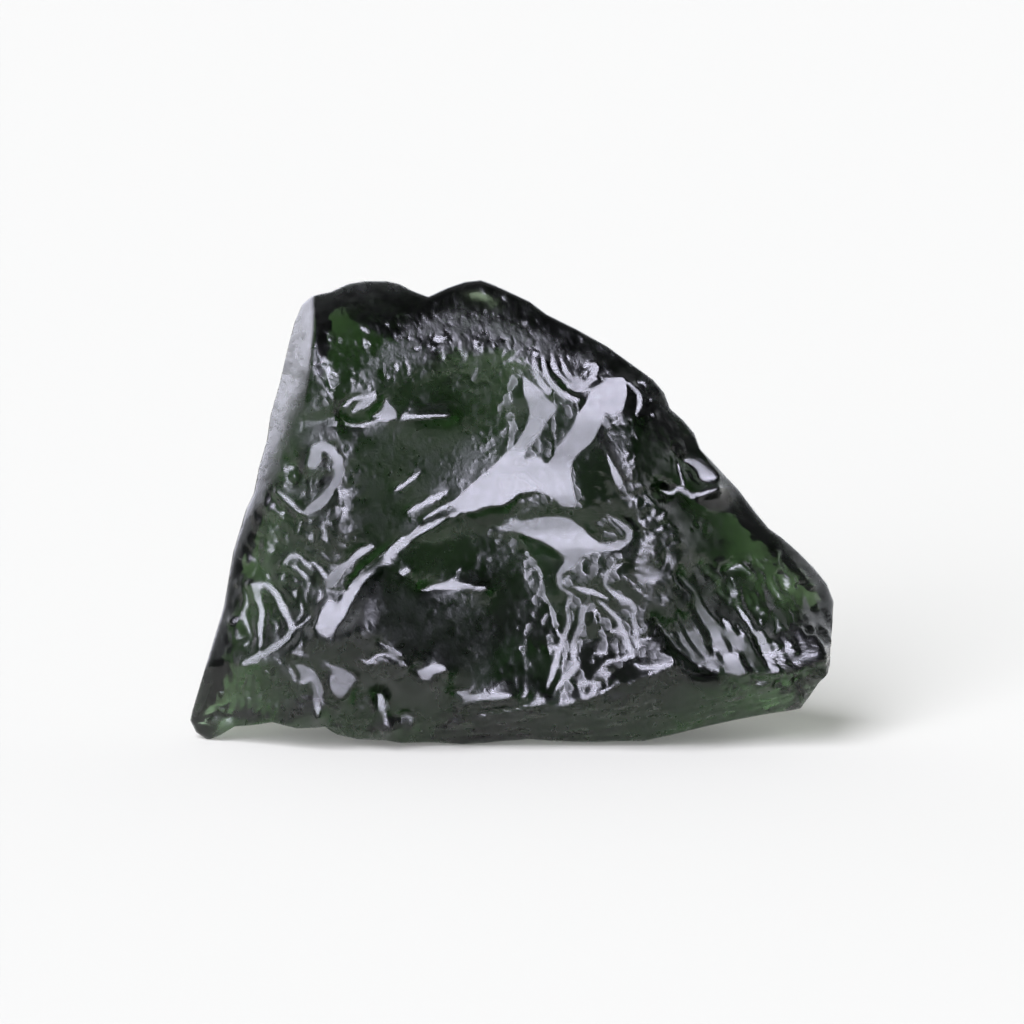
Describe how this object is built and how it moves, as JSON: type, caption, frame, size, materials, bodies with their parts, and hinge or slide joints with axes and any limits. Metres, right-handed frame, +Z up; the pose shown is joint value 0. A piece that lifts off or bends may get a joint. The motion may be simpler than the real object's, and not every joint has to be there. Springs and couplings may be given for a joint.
{
  "type": "raw moldavite",
  "caption": "Raw chunk of clear dark green natural glass with a shell-shaped front scoop, sharp ridges and one small flat spot to stand on.",
  "frame": {"origin": "middle of the stone's box, at the height of the flat spot it stands on", "axes": "+X to the right along the stone's length as it is seen from its scooped front, -Y out of that front towards the viewer, +Z up"},
  "size_m": [0.0322, 0.0144, 0.0226],
  "materials": {
    "moldavite_glass": "glossy, broken surface"
  },
  "bodies": {
    "root": {"moldavite": "moldavite_glass"}
  },
  "joints": []
}
